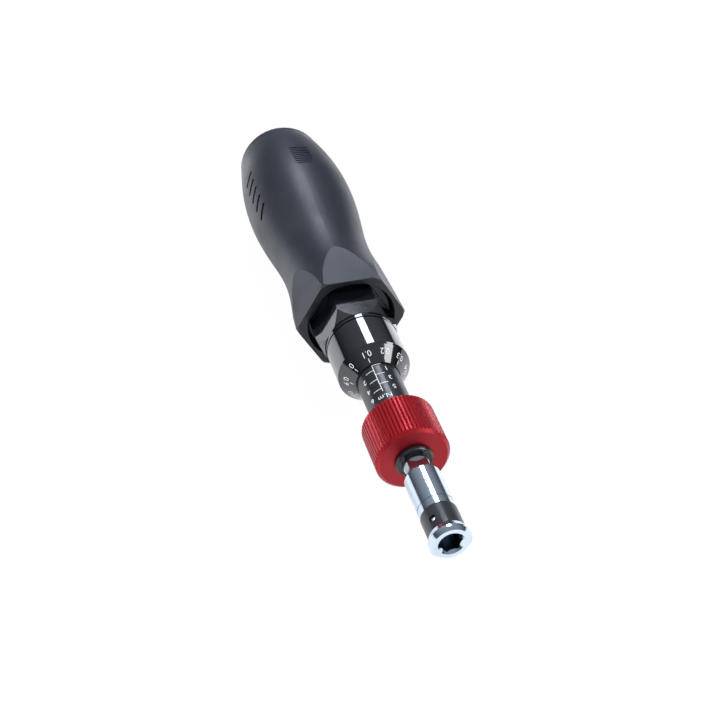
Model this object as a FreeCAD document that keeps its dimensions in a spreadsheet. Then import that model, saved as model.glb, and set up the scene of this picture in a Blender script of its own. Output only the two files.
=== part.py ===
"""Click-type torque screwdriver with a micrometer setting, lying on its handle flange.

Local frame of every piece: +Z runs along the tool from the bit towards the handle's end,
+X is up and +Y is to the right when looking along the tool from the bit. LAID turns that
frame into the finished one, where the tool points along -Y and +Z is up. The origin is on
the tool's axis in the plane of the bit socket's mouth. Lengths are in millimetres.
"""
import FreeCAD, Part
import math
import os

import Sketcher
from FreeCAD import Placement, Rotation, Vector

DOC = FreeCAD.newDocument("torque_screwdriver")
LAID = Placement(Vector(0, 0, 0), Rotation(Vector(1, 1, 1), -120))
AXIS = Vector(0, 0, 1)
COS_30 = math.cos(math.radians(30))
TAN_30 = math.tan(math.radians(30))

SIZES = {
    # bit holder, measured from its mouth
    "bit_across_flats": 6.4,
    "bit_socket_depth": 11.0,
    "bit_socket_turn": -40.0,
    "mouth_chamfer": 0.9,
    "holder_rim_radius": 5.45,
    "holder_flare_radius": 6.4,
    "holder_flare_front": 0.9,
    "holder_flare_width": 0.8,
    "holder_neck_radius": 5.75,
    "holder_radius": 5.65,
    "holder_length": 28.1,
    "holder_edge": 0.5,
    "collar_length": 2.8,
    "collar_groove_width": 0.3,
    "collar_groove_depth": 0.2,
    "band_front": 3.5,
    "band_width": 8.3,
    "band_wall": 0.7,
    "band_hole_radius": 1.1,
    "seat_gap": 0.03,
    "ball_radius": 1.2,
    "ball_hole_gap": 0.05,
    "bit_ball_setback": 3.652,
    "band_edge": 0.15,
    "bit_ball_offset": 4.2,
    "magnet_radius": 2.7,
    "magnet_length": 2.2,
    "magnet_end_gap": 0.2,
    "square_socket_depth": 8.6,
    "square_socket_gap": 0.08,
    "detent_groove_radius": 3.85,
    "detent_groove_width": 2.4,
    # drive shaft
    "square_across_flats": 6.35,
    "shaft_radius": 4.05,
    "square_tip_gap": 0.7,
    "square_shoulder": 33.4,
    "square_tip_chamfer": 0.6,
    "detent_setback": 4.1,
    "detent_ball_offset": 2.5,
    "detent_hole_bottom": 0.4,
    "detent_wire": 0.3,
    "detent_coils": 3.0,
    "flange_thickness": 2.0,
    "flange_end_gap": 0.1,
    "pilot_radius": 1.5,
    "pilot_length": 2.9,
    # clutch
    "cam_tooth_height": 1.0,
    "cam_tooth_count": 6,
    "cam_tooth_gap_angle": 2.0,
    "cam_inner_radius": 2.3,
    "cam_gap": 0.1,
    "cam_root": 0.5,
    "cut_margin": 1.0,
    "follower_disc": 2.45,
    "follower_cup_radius": 3.8,
    "follower_length": 15.15,
    "follower_key_width": 2.0,
    "follower_key_height": 0.6,
    "spring_seat_thickness": 1.5,
    # barrel
    "barrel_radius": 7.0,
    "barrel_bore_radius": 5.6,
    "barrel_rear": 116.0,
    "nose_front": 34.9,
    "nose_radius": 5.7,
    "nose_length": 6.4,
    "nose_bore_radius": 5.0,
    "nose_bore_length": 7.1,
    "nose_edge": 0.3,
    "running_gap": 0.05,
    "sliding_gap": 0.15,
    "bush_length": 6.7,
    "bush_end_gap": 0.2,
    "thrust_washer_thickness": 0.55,
    "nose_ring_radius": 6.0,
    "nose_ring_width": 0.95,
    "nose_ring_groove": 0.35,
    "friction_ring_station": 46.0,
    "friction_ring_wire": 0.32,
    # lock ring and its dog clutch
    "lock_ring_front": 36.3,
    "lock_ring_length": 17.7,
    "lock_ring_radius": 11.75,
    "lock_ring_chamfer": 1.1,
    "lock_ring_lip": 2.5,
    "lock_travel": 2.0,
    "flute_count": 60,
    "flute_depth": 0.42,
    "lock_pin_station": 50.9,
    "lock_pin_radius": 0.8,
    "lock_pin_outer": 9.6,
    "lock_pin_inner": 2.9,
    "dog_radius": 3.6,
    "dog_bore_radius": 2.05,
    "dog_front": 49.5,
    "dog_length": 7.3,
    "dog_tooth_height": 1.0,
    "dog_tooth_count": 10,
    "dog_tooth_width": 0.7,
    "dog_mesh_gap": 0.1,
    "hub_pilot_front": 51.0,
    "hub_flange": 0.9,
    "hub_journal_radius": 2.5,
    "hub_rear": 80.0,
    "hub_bore_front": 61.5,
    # main spring and its rear seat
    "spring_wire": 1.6,
    "spring_coils": 12.0,
    "spring_side_gap": 0.25,
    "rear_seat_front": 104.0,
    "rear_seat_thickness": 2.5,
    "thrust_ball_radius": 0.8,
    "thrust_ball_circle": 3.9,
    "thrust_ball_count": 8,
    "ball_race_gap": 0.02,
    # thimble and what it carries
    "thimble_front": 75.2,
    "bevel_small_radius": 7.45,
    "bevel_rear": 79.6,
    "thimble_radius": 12.0,
    "rim_width": 0.5,
    "thimble_groove_front": 93.7,
    "thimble_groove_width": 0.7,
    "thimble_groove_depth": 0.45,
    "hex_front": 95.7,
    "hex_across_flats": 24.0,
    "hex_chamfer_radius": 12.3,
    "hex_chamfer_length": 4.6,
    "hex_rear": 116.0,
    "sleeve_wall": 1.0,
    "sleeve_rear": 140.0,
    "nut_front": 96.0,
    "nut_radius": 9.5,
    "nut_length": 12.0,
    "plug_stem_radius": 5.35,
    "plug_head_front": 128.0,
    "plug_length": 12.0,
    "spindle_across_flats": 3.0,
    "spindle_front": 73.5,
    "spindle_rear": 143.2,
    "spindle_nut_across_flats": 6.0,
    "spindle_nut_thickness": 2.4,
    # handle
    "handle_front": 108.0,
    "flange_across_flats": 33.0,
    "flange_corner_radius": 18.9,
    "flange_rear_radius": 18.1,
    "flange_length": 9.0,
    "flange_edge": 0.8,
    "dish_radius": 15.2,
    "dish_depth": 3.0,
    "dish_slope": 1.2,
    "neck_setback": 13.0,
    "neck_radius": 16.4,
    "waist_station": 139.0,
    "waist_radius": 16.0,
    "swell_radius": 17.9,
    "belly_to_shoulder": 26.0,
    "belly_radius": 19.5,
    "shoulder_to_cap": 6.0,
    "shoulder_radius": 17.0,
    "handle_end": 221.0,
    "cap_length": 9.0,
    "cap_radius": 15.8,
    "grip_groove_length": 6.5,
    "grip_groove_width": 1.3,
    "grip_groove_depth": 0.7,
    "grip_groove_pitch": 5.6,
    "grip_groove_angle": -63.0,
    "grip_groove_slant": 38.0,
    "grip_groove_count": 5,
    "rib_groove_length": 7.0,
    "rib_groove_width": 0.6,
    "rib_groove_depth": 0.25,
    "rib_groove_pitch": 1.5,
    "rib_groove_angle": 7.0,
    "rib_groove_count": 9,
    "hex_recess_gap": 0.1,
    "core_gap": 0.1,
    "core_rear": 150.0,
    "cap_spigot_radius": 8.0,
    "cap_spigot_length": 8.0,
    "cap_spigot_clearance": 0.5,
}


class Dim:
    """A length together with the spreadsheet formula that gives it."""

    def __init__(self, value, formula):
        self.value = float(value)
        self.formula = formula

    @staticmethod
    def of(other):
        """Return other as a Dim; a plain number stands for itself."""
        return other if isinstance(other, Dim) else Dim(other, repr(float(other)))

    def _join(self, sign, other, value):
        return Dim(value, f"({self.formula} {sign} {other.formula})")

    def __add__(self, other):
        other = Dim.of(other)
        return self._join("+", other, self.value + other.value)

    def __sub__(self, other):
        other = Dim.of(other)
        return self._join("-", other, self.value - other.value)

    def __mul__(self, other):
        other = Dim.of(other)
        return self._join("*", other, self.value * other.value)

    def __truediv__(self, other):
        other = Dim.of(other)
        return self._join("/", other, self.value / other.value)

    def __neg__(self):
        return Dim(-self.value, f"(-1 * {self.formula})")

    def __rsub__(self, other):
        return Dim.of(other) - self

    __radd__ = __add__
    __rmul__ = __mul__


class Sizes:
    """The driving dimensions as attributes, each tied to its spreadsheet cell."""

    def __init__(self, values):
        sheet = DOC.addObject("Spreadsheet::Sheet", "Sizes")
        for row, (alias, value) in enumerate(values.items(), start=1):
            sheet.set(f"A{row}", alias)
            sheet.set(f"B{row}", str(value))
            sheet.setAlias(f"B{row}", alias)
        DOC.recompute()
        for alias in values:
            setattr(self, alias, Dim(getattr(sheet, alias), f"Sizes.{alias}"))


S = Sizes(SIZES)
ZERO = Dim(0, "0")
PARTS = []


# --- construction helpers -------------------------------------------------------------


def new_body(name):
    """Start a PartDesign body that lies in the finished frame and is one sub-part."""
    body = DOC.addObject("PartDesign::Body", name)
    body.Label = name
    body.Placement = LAID
    PARTS.append(body)
    return body


def new_sketch(body, role, station=ZERO, turn=0.0):
    """Attach a sketch to one of the body's origin planes, moved along its normal."""
    plane = next(f for f in body.Origin.OriginFeatures if f.Role == role)
    sketch = body.newObject("Sketcher::SketchObject", f"{body.Name}_sketch")
    sketch.AttachmentSupport = (plane, [""])
    sketch.MapMode = "FlatFace"
    sketch.AttachmentOffset = Placement(Vector(0, 0, station.value), Rotation(AXIS, turn))
    if station is not ZERO:
        sketch.setExpression("AttachmentOffset.Base.z", station.formula)
    return sketch


def pin_coordinate(sketch, kind, geometry, position, size):
    """Fix one coordinate of a sketch point by a formula, or on the axis where it is zero."""
    if size.formula in ("0", "0.0"):
        sketch.addConstraint(
            Sketcher.Constraint("PointOnObject", geometry, position, -2 if kind == "DistanceX" else -1)
        )
        return
    index = sketch.addConstraint(Sketcher.Constraint(kind, -1, 1, geometry, position, size.value))
    name = f"size_{index}"
    sketch.renameConstraint(index, name)
    sketch.setExpression(f"Constraints.{name}", size.formula)


def add_outline(sketch, corners):
    """Draw a closed polygon whose corners are (x, y) pairs of Dims or numbers."""
    corners = [(Dim.of(x), Dim.of(y)) for x, y in corners]
    count = len(corners)
    first = sketch.GeometryCount
    for i in range(count):
        start, end = corners[i], corners[(i + 1) % count]
        line = Part.LineSegment(
            Vector(start[0].value, start[1].value, 0), Vector(end[0].value, end[1].value, 0)
        )
        sketch.addGeometry(line, False)
    for i in range(count):
        following = first + (i + 1) % count
        sketch.addConstraint(Sketcher.Constraint("Coincident", first + i, 2, following, 1))
    for i, (x, y) in enumerate(corners):
        pin_coordinate(sketch, "DistanceX", first + i, 1, x)
        pin_coordinate(sketch, "DistanceY", first + i, 1, y)


def add_circle(sketch, radius, x=ZERO, y=ZERO):
    """Draw a circle of the given radius about (x, y)."""
    index = sketch.addGeometry(
        Part.Circle(Vector(x.value, y.value, 0), AXIS, radius.value), False
    )
    pin_coordinate(sketch, "DistanceX", index, 3, x)
    pin_coordinate(sketch, "DistanceY", index, 3, y)
    number = sketch.addConstraint(Sketcher.Constraint("Radius", index, radius.value))
    sketch.renameConstraint(number, f"radius_{number}")
    sketch.setExpression(f"Constraints.radius_{number}", radius.formula)


def revolve(body, corners, kind="Revolution"):
    """Turn a (radius, station) outline about the tool's axis, to add or to groove."""
    sketch = new_sketch(body, "XZ_Plane")
    add_outline(sketch, corners)
    feature = body.newObject(f"PartDesign::{kind}", f"{body.Name}_{kind}")
    feature.Profile = sketch
    feature.ReferenceAxis = (sketch, ["V_Axis"])
    feature.Angle = 360
    body.Tip = feature
    DOC.recompute()
    return feature


def tube(body, outer, inner, front, rear, edge=0.0):
    """Turn a plain tube with its outer edges broken by a small chamfer."""
    edge = Dim.of(edge)
    if edge.value == 0:
        corners = [(inner, front), (outer, front), (outer, rear), (inner, rear)]
    else:
        corners = [
            (inner, front), (outer - edge, front), (outer, front + edge),
            (outer, rear - edge), (outer - edge, rear), (inner, rear),
        ]
    return revolve(body, corners)


def extrude(body, sketch, length, kind="Pad", rearward=True):
    """Pad or pocket a sketch that lies across the axis, towards the rear or the front."""
    feature = body.newObject(f"PartDesign::{kind}", f"{body.Name}_{kind}")
    feature.Profile = sketch
    feature.Length = length.value
    feature.setExpression("Length", length.formula)
    feature.Reversed = rearward if kind == "Pocket" else not rearward
    body.Tip = feature
    DOC.recompute()
    return feature


def cut_through(body, sketch, length, kind="Pocket"):
    """Cut a sketch equally to both sides of its plane."""
    feature = body.newObject(f"PartDesign::{kind}", f"{body.Name}_{kind}")
    feature.Profile = sketch
    feature.Length = length.value
    feature.setExpression("Length", length.formula)
    feature.Midplane = True
    body.Tip = feature
    DOC.recompute()
    return feature


def repeat_around(body, features, count):
    """Repeat features evenly around the tool's axis."""
    pattern = body.newObject("PartDesign::PolarPattern", f"{body.Name}_pattern")
    pattern.Originals = features
    axis = next(f for f in body.Origin.OriginFeatures if f.Role == "Z_Axis")
    pattern.Axis = (axis, [""])
    pattern.Angle = 360
    pattern.Occurrences = int(count.value)
    pattern.setExpression("Occurrences", count.formula)
    body.Tip = pattern
    DOC.recompute()
    return pattern


def hexagon(across_flats):
    """Corners of a hexagon with one flat facing +X."""
    half = Dim.of(across_flats) / 2
    corner = half / COS_30
    return [
        (half, half * -TAN_30), (half, half * TAN_30), (ZERO, corner),
        (-half, half * TAN_30), (-half, half * -TAN_30), (ZERO, -corner),
    ]


def square(across_flats):
    """Corners of a square with one flat facing +X."""
    half = Dim.of(across_flats) / 2
    return [(half, -half), (half, half), (-half, half), (-half, -half)]


def radial_sketch(body, angle):
    """A sketch across the direction at the given angle about the axis.

    Its x runs along the tool and its normal points outwards, so a circle in it makes a
    radial hole.
    """
    plane = next(f for f in body.Origin.OriginFeatures if f.Role == "YZ_Plane")
    sketch = body.newObject("Sketcher::SketchObject", f"{body.Name}_radial")
    sketch.AttachmentSupport = (plane, [""])
    sketch.MapMode = "FlatFace"
    sketch.AttachmentOffset = Placement(Vector(0, 0, 0), Rotation(Vector(0, 1, 0), angle))
    return sketch


def radial_hole(body, radius, station, angle, depth, outward=True):
    """Drill a round hole from the axis outwards in one direction."""
    sketch = radial_sketch(body, angle)
    add_circle(sketch, radius, ZERO, station)
    return extrude(body, sketch, depth, "Pocket", rearward=outward)


def mark_part(item, name):
    """Give a Part object its sub-part name."""
    item.Label = name
    PARTS.append(item)
    return item


def placed(offset, angle=0.0):
    """Placement at a point of the local frame, in the finished frame."""
    return LAID * Placement(offset, Rotation(AXIS, angle))


def polar(radius, angle, station):
    """Point of the local frame at an angle from +X towards +Y."""
    turn = math.radians(angle)
    return Vector(radius * math.cos(turn), radius * math.sin(turn), station)


def make_ball(name, radius, offset, angle, station):
    """A ball whose centre is off the axis; its place follows the sheet."""
    ball = DOC.addObject("Part::Sphere", name)
    ball.Placement = placed(polar(offset.value, angle, station.value))
    ball.setExpression("Radius", radius.formula)
    return mark_part(ball, name)


def make_coil(name, wire, mean_radius, front, rear, coils, place=None):
    """A round-wire compression spring between two stations."""
    pitch = (rear.value - front.value - wire.value) / coils.value
    helix = Part.makeHelix(pitch, pitch * coils.value, mean_radius.value)
    start = Vector(mean_radius.value, 0, 0)
    slope = Vector(0, 2 * math.pi * mean_radius.value, pitch)
    ring = Part.Wire([Part.makeCircle(wire.value / 2, start, slope)])
    feature = DOC.addObject("Part::Feature", name)
    feature.Shape = Part.Wire(helix.Edges).makePipeShell([ring], True, True)
    lift = Placement(Vector(0, 0, front.value + wire.value / 2), Rotation())
    feature.Placement = (place or LAID) * lift
    return mark_part(feature, name)


# --- stations worked out from the sizes ----------------------------------------------

band_rear = S.band_front + S.band_width
collar_rear = band_rear + S.collar_length
band_seat_radius = S.holder_radius - S.band_wall
bit_ball_station = S.band_front + S.bit_ball_setback
magnet_front = S.bit_socket_depth + S.running_gap
socket_bottom = S.holder_length - S.square_socket_depth
square_tip = socket_bottom + S.square_tip_gap
detent_station = S.holder_length - S.detent_setback

nose_rear = S.nose_front + S.nose_length
chamber_front = S.nose_front + S.nose_bore_length
bush_front = chamber_front - S.bush_length - S.bush_end_gap
flange_front = chamber_front + S.thrust_washer_thickness + S.flange_end_gap
flange_rear = flange_front + S.flange_thickness
cam_top = flange_rear + S.cam_tooth_height
follower_front = flange_rear + S.cam_gap
follower_floor = cam_top + S.cam_gap + S.follower_disc
follower_radius = S.barrel_bore_radius - S.sliding_gap
follower_rear = cam_top + S.cam_gap + S.follower_length
front_seat_rear = follower_rear + S.spring_seat_thickness

dog_rear = S.dog_front + S.dog_length
dog_tip = dog_rear + S.dog_tooth_height
hub_tooth_front = dog_rear + S.lock_travel + S.dog_mesh_gap
hub_tooth_root = hub_tooth_front + S.dog_tooth_height
hub_flange_rear = hub_tooth_root + S.hub_flange

rear_seat_rear = S.rear_seat_front + S.rear_seat_thickness
plug_front = rear_seat_rear + S.thrust_ball_radius * 2 + S.ball_race_gap
plug_rear = S.plug_head_front + S.plug_length
bore_radius = S.barrel_radius + S.running_gap
sleeve_radius = S.nut_radius + S.sleeve_wall

flange_rear_station = S.handle_front + S.flange_length
cap_joint = S.handle_end - S.cap_length
shoulder_station = cap_joint - S.shoulder_to_cap
belly_station = shoulder_station - S.belly_to_shoulder
swell_station = (S.waist_station + belly_station) / 2


# --- bit holder -----------------------------------------------------------------------


def make_bit_holder():
    """Chrome holder: hexagon socket in front, square socket behind, seat for the band."""
    body = new_body("bit_holder")
    flare_rear = S.holder_flare_front + S.holder_flare_width
    groove_rear = collar_rear + S.collar_groove_width
    groove_radius = S.holder_radius - S.collar_groove_depth
    revolve(body, [
        (ZERO, ZERO), (S.holder_rim_radius, ZERO), (S.holder_flare_radius, S.holder_flare_front),
        (S.holder_flare_radius, flare_rear), (S.holder_neck_radius, S.band_front),
        (band_seat_radius, S.band_front), (band_seat_radius, band_rear),
        (S.holder_radius, band_rear), (S.holder_radius, collar_rear),
        (groove_radius, collar_rear), (groove_radius, groove_rear),
        (S.holder_radius, groove_rear), (S.holder_radius, S.holder_length - S.holder_edge),
        (S.holder_radius - S.holder_edge, S.holder_length), (ZERO, S.holder_length),
    ])
    sketch = new_sketch(body, "XY_Plane", turn=S.bit_socket_turn.value + 30)
    add_outline(sketch, hexagon(S.bit_across_flats))
    extrude(body, sketch, S.bit_socket_depth, "Pocket")
    mouth = S.bit_across_flats / 2 + S.mouth_chamfer
    revolve(body, [
        (ZERO, ZERO), (mouth, ZERO), (S.bit_across_flats / 2, S.mouth_chamfer),
        (ZERO, S.mouth_chamfer),
    ], "Groove")
    sketch = new_sketch(body, "XY_Plane", S.bit_socket_depth)
    add_circle(sketch, S.magnet_radius + S.seat_gap)
    extrude(body, sketch, S.magnet_length + S.magnet_end_gap, "Pocket")
    sketch = new_sketch(body, "XY_Plane", S.holder_length)
    add_outline(sketch, square(S.square_across_flats + S.square_socket_gap * 2))
    extrude(body, sketch, S.square_socket_depth, "Pocket", rearward=False)
    groove_front = detent_station - S.detent_groove_width / 2
    revolve(body, [
        (ZERO, groove_front), (S.detent_groove_radius, groove_front),
        (S.detent_groove_radius, groove_front + S.detent_groove_width),
        (ZERO, groove_front + S.detent_groove_width),
    ], "Groove")
    radial_hole(
        body, S.ball_radius + S.ball_hole_gap, bit_ball_station, S.bit_socket_turn.value,
        S.holder_flare_radius,
    )


def make_retaining_band():
    """Black sleeve on the holder; a window in it shows the bit ball."""
    body = new_body("retaining_band")
    gap = S.seat_gap
    tube(
        body, band_seat_radius + S.band_wall + S.running_gap, band_seat_radius + gap,
        S.band_front + gap, band_rear - gap, S.band_edge,
    )
    radial_hole(
        body, S.band_hole_radius, bit_ball_station, S.bit_socket_turn.value,
        S.holder_flare_radius + S.cut_margin,
    )


def make_bit_magnet():
    """Disc magnet at the bottom of the bit socket."""
    magnet = DOC.addObject("Part::Cylinder", "bit_magnet")
    magnet.setExpression("Radius", S.magnet_radius.formula)
    magnet.setExpression("Height", S.magnet_length.formula)
    magnet.Placement = placed(Vector(0, 0, magnet_front.value))
    mark_part(magnet, "bit_magnet")


# --- drive shaft and clutch -----------------------------------------------------------


def ramp_tooth(inner, outer, height, base, sweep):
    """One saw tooth: a helical ramp that climbs clockwise about +Z, on a flat base.

    The tooth starts at +X, at height zero, and ends at -sweep with the full height. It
    reaches down by base below zero.
    """
    pitch = height * 360.0 / sweep
    rails = {}
    for key, radius in (("inner", inner), ("outer", outer)):
        helix = Part.makeHelix(pitch, height, radius, 0, True).Edges[0]
        start = Vector(radius, 0, -base)
        half, full = polar(radius, -sweep / 2, -base), polar(radius, -sweep, -base)
        rails[key] = (helix, Part.Arc(start, half, full).toShape())
    faces = [
        Part.makeRuledSurface(rails["inner"][0], rails["outer"][0]),
        Part.makeRuledSurface(rails["inner"][1], rails["outer"][1]),
        Part.makeRuledSurface(rails["inner"][0], rails["inner"][1]),
        Part.makeRuledSurface(rails["outer"][0], rails["outer"][1]),
    ]
    for angle, top in ((0, 0), (-sweep, height)):
        corners = [
            polar(inner, angle, -base), polar(outer, angle, -base),
            polar(outer, angle, top), polar(inner, angle, top),
        ]
        faces.append(Part.Face(Part.makePolygon(corners + corners[:1])))
    shell = Part.makeShell(faces)
    shell.sewShape()
    solid = Part.makeSolid(shell)
    if solid.Volume < 0:
        solid.reverse()
    return solid


def tooth_ring(inner, outer, base, gap_filled):
    """All saw teeth of the clutch; gap_filled closes the gaps between them at full height."""
    count = int(S.cam_tooth_count.value)
    height = S.cam_tooth_height.value
    pitch = 360.0 / count
    sweep = pitch - S.cam_tooth_gap_angle.value
    tooth = ramp_tooth(inner, outer, height, base, sweep)
    pieces = []
    for i in range(count):
        piece = tooth.copy()
        piece.rotate(Vector(0, 0, 0), AXIS, i * pitch)
        pieces.append(piece)
        if gap_filled:
            angle = pitch - sweep
            block = Part.makeCylinder(outer, height + base, Vector(0, 0, -base), AXIS, angle)
            block = block.cut(Part.makeCylinder(inner, height + base, Vector(0, 0, -base), AXIS))
            block.rotate(Vector(0, 0, 0), AXIS, i * pitch)
            pieces.append(block)
    return pieces


def make_drive_shaft():
    """Square drive, journal and cam flange in one piece."""
    blank = new_body("drive_shaft_blank")
    PARTS.remove(blank)
    tip_radius = S.shaft_radius - S.square_tip_chamfer
    revolve(blank, [
        (ZERO, square_tip), (tip_radius, square_tip),
        (S.shaft_radius, square_tip + S.square_tip_chamfer), (S.shaft_radius, flange_front),
        (follower_radius, flange_front), (follower_radius, flange_rear),
        (S.pilot_radius, flange_rear), (S.pilot_radius, flange_rear + S.pilot_length),
        (ZERO, flange_rear + S.pilot_length),
    ])
    sketch = new_sketch(blank, "XY_Plane", square_tip)
    add_circle(sketch, S.shaft_radius + S.cut_margin)
    add_outline(sketch, square(S.square_across_flats))
    extrude(blank, sketch, S.square_shoulder - square_tip, "Pocket")
    sketch = radial_sketch(blank, 90)
    sketch.AttachmentOffset = Placement(
        sketch.AttachmentOffset.Rotation.multVec(Vector(0, 0, S.detent_hole_bottom.value)),
        sketch.AttachmentOffset.Rotation,
    )
    add_circle(sketch, S.ball_radius + S.ball_hole_gap, ZERO, detent_station)
    extrude(blank, sketch, S.shaft_radius, "Pocket")
    blank.Placement = Placement()
    DOC.recompute()
    teeth = tooth_ring(S.cam_inner_radius.value, follower_radius.value, S.cam_root.value, False)
    for tooth in teeth:
        tooth.translate(Vector(0, 0, flange_rear.value))
    shaft = DOC.addObject("Part::Feature", "drive_shaft")
    shaft.Shape = blank.Shape.fuse(teeth).removeSplitter()
    shaft.Placement = LAID
    mark_part(shaft, "drive_shaft")


def make_cam_follower():
    """Spring-loaded half of the clutch, a cup keyed to the barrel."""
    blank = new_body("cam_follower_blank")
    PARTS.remove(blank)
    pilot_bore = S.pilot_radius + S.sliding_gap
    revolve(blank, [
        (pilot_bore, follower_front), (follower_radius, follower_front),
        (follower_radius, follower_rear), (S.follower_cup_radius, follower_rear),
        (S.follower_cup_radius, follower_floor), (pilot_bore, follower_floor),
    ])
    sketch = new_sketch(blank, "XY_Plane", cam_top + S.cam_gap)
    reach = follower_radius + S.follower_key_height
    half = S.follower_key_width / 2
    add_outline(sketch, [(-reach, -half), (reach, -half), (reach, half), (-reach, half)])
    extrude(blank, sketch, follower_floor - cam_top - S.cam_gap)
    sketch = new_sketch(blank, "XY_Plane", cam_top + S.cam_gap)
    add_circle(sketch, pilot_bore)
    extrude(blank, sketch, follower_floor - cam_top - S.cam_gap, "Pocket")
    sketch = new_sketch(blank, "XZ_Plane")
    half = S.lock_pin_radius + S.running_gap
    slot_front = S.lock_pin_station - half - S.cam_tooth_height - S.running_gap
    slot_rear = S.lock_pin_station + half + S.lock_travel + S.running_gap
    add_outline(sketch, [(-half, slot_front), (half, slot_front), (half, slot_rear), (-half, slot_rear)])
    cut_through(blank, sketch, follower_radius * 3)
    blank.Placement = Placement()
    DOC.recompute()
    recess = blank.Shape
    for piece in tooth_ring(0.01, (follower_radius + S.cut_margin).value, S.cam_root.value, True):
        piece.translate(Vector(0, 0, follower_front.value))
        recess = recess.cut(piece)
    centre = Part.makeCylinder(S.cam_inner_radius.value - 0.1, S.cam_tooth_height.value * 2,
                               Vector(0, 0, follower_front.value - S.cam_tooth_height.value), AXIS)
    follower = DOC.addObject("Part::Feature", "cam_follower")
    follower.Shape = recess.cut(centre).removeSplitter()
    follower.Placement = LAID
    mark_part(follower, "cam_follower")


def make_detent():
    """Ball that clicks into the holder's groove, and the spring behind it."""
    make_ball("detent_ball", S.ball_radius, S.detent_ball_offset, 90, detent_station)
    along = Rotation(AXIS, Vector(0, 1, 0))
    place = LAID * Placement(Vector(0, 0, detent_station.value), along)
    make_coil(
        "detent_spring", S.detent_wire, S.ball_radius - S.detent_wire * 0.8,
        S.detent_hole_bottom + 0.02, S.detent_ball_offset - S.ball_radius * 0.85,
        S.detent_coils, place,
    )


# --- barrel ---------------------------------------------------------------------------


def make_barrel():
    """Scale tube: stepped nose, spring chamber, keyways and slots for the lock pins."""
    body = new_body("barrel")
    ring_seat = S.nose_radius - S.nose_ring_groove
    ring_rear = S.lock_ring_front - S.seat_gap
    ring_front = ring_rear - S.nose_ring_width - S.seat_gap * 2
    wire = S.friction_ring_wire
    groove_front = S.friction_ring_station - wire * 1.3
    groove_rear = S.friction_ring_station + wire * 1.3
    groove_radius = S.barrel_radius - wire * 1.9
    revolve(body, [
        (S.nose_bore_radius, S.nose_front), (S.nose_radius - S.nose_edge, S.nose_front),
        (S.nose_radius, ring_front), (ring_seat, ring_front), (ring_seat, ring_rear),
        (S.nose_radius, ring_rear), (S.nose_radius, nose_rear),
        (S.barrel_radius - S.nose_edge, nose_rear), (S.barrel_radius, nose_rear + S.nose_edge),
        (S.barrel_radius, groove_front), (groove_radius, groove_front),
        (groove_radius, groove_rear), (S.barrel_radius, groove_rear),
        (S.barrel_radius, S.barrel_rear), (S.barrel_bore_radius, S.barrel_rear),
        (S.barrel_bore_radius, chamber_front), (S.nose_bore_radius, chamber_front),
    ])
    sketch = new_sketch(body, "XY_Plane", flange_rear)
    reach = follower_radius + S.follower_key_height + S.running_gap * 2
    half = S.follower_key_width / 2 + S.running_gap
    add_outline(sketch, [(-reach, -half), (reach, -half), (reach, half), (-reach, half)])
    extrude(body, sketch, S.barrel_rear - flange_rear, "Pocket")
    sketch = new_sketch(body, "XZ_Plane")
    half = S.lock_pin_radius + S.running_gap
    slot_front = S.lock_pin_station - half - S.running_gap
    slot_rear = S.lock_pin_station + half + S.lock_travel + S.running_gap
    add_outline(sketch, [(-half, slot_front), (half, slot_front), (half, slot_rear), (-half, slot_rear)])
    cut_through(body, sketch, S.barrel_radius * 3)


def make_barrel_fittings():
    """Bush, washer and rings that stay with the barrel."""
    tube(
        new_body("front_bush"), S.nose_bore_radius, S.shaft_radius + S.running_gap,
        bush_front, bush_front + S.bush_length,
    )
    tube(
        new_body("thrust_washer"), follower_radius, S.shaft_radius + S.sliding_gap,
        chamber_front + 0.02, chamber_front + 0.02 + S.thrust_washer_thickness,
    )
    ring_rear = S.lock_ring_front - S.seat_gap * 2
    tube(
        new_body("nose_ring"), S.nose_ring_radius, S.nose_radius - S.nose_ring_groove + S.seat_gap,
        ring_rear - S.nose_ring_width, ring_rear, 0.25,
    )
    ring = DOC.addObject("Part::Torus", "friction_ring")
    wire = S.friction_ring_wire
    ring.setExpression("Radius1", (S.barrel_radius + 0.03 - wire).formula)
    ring.setExpression("Radius2", wire.formula)
    ring.Placement = placed(Vector(0, 0, S.friction_ring_station.value))
    mark_part(ring, "friction_ring")


# --- lock -----------------------------------------------------------------------------


def make_lock_ring():
    """Red fluted ring that slides on the barrel; a lip in front meets the nose ring."""
    body = new_body("lock_ring")
    front, edge = S.lock_ring_front, S.lock_ring_chamfer
    rear = front + S.lock_ring_length
    lip_rear = front + S.lock_ring_lip
    lip_bore = S.nose_radius + S.running_gap
    revolve(body, [
        (lip_bore, front), (S.lock_ring_radius - edge, front), (S.lock_ring_radius, front + edge),
        (S.lock_ring_radius, rear - edge), (S.lock_ring_radius - edge, rear),
        (bore_radius, rear), (bore_radius, lip_rear), (lip_bore, lip_rear),
    ])
    sketch = new_sketch(body, "XY_Plane", front)
    half = S.flute_depth * 1.05
    root = S.lock_ring_radius - S.flute_depth
    crest = S.lock_ring_radius + S.flute_depth * 0.3
    add_outline(sketch, [(root, ZERO), (crest, half), (crest, -half)])
    flute = extrude(body, sketch, S.lock_ring_length, "Pocket")
    repeat_around(body, [flute], S.flute_count)
    sketch = new_sketch(body, "XZ_Plane")
    add_circle(sketch, S.lock_pin_radius, ZERO, S.lock_pin_station)
    cut_through(body, sketch, S.lock_pin_outer * 2)


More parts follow.
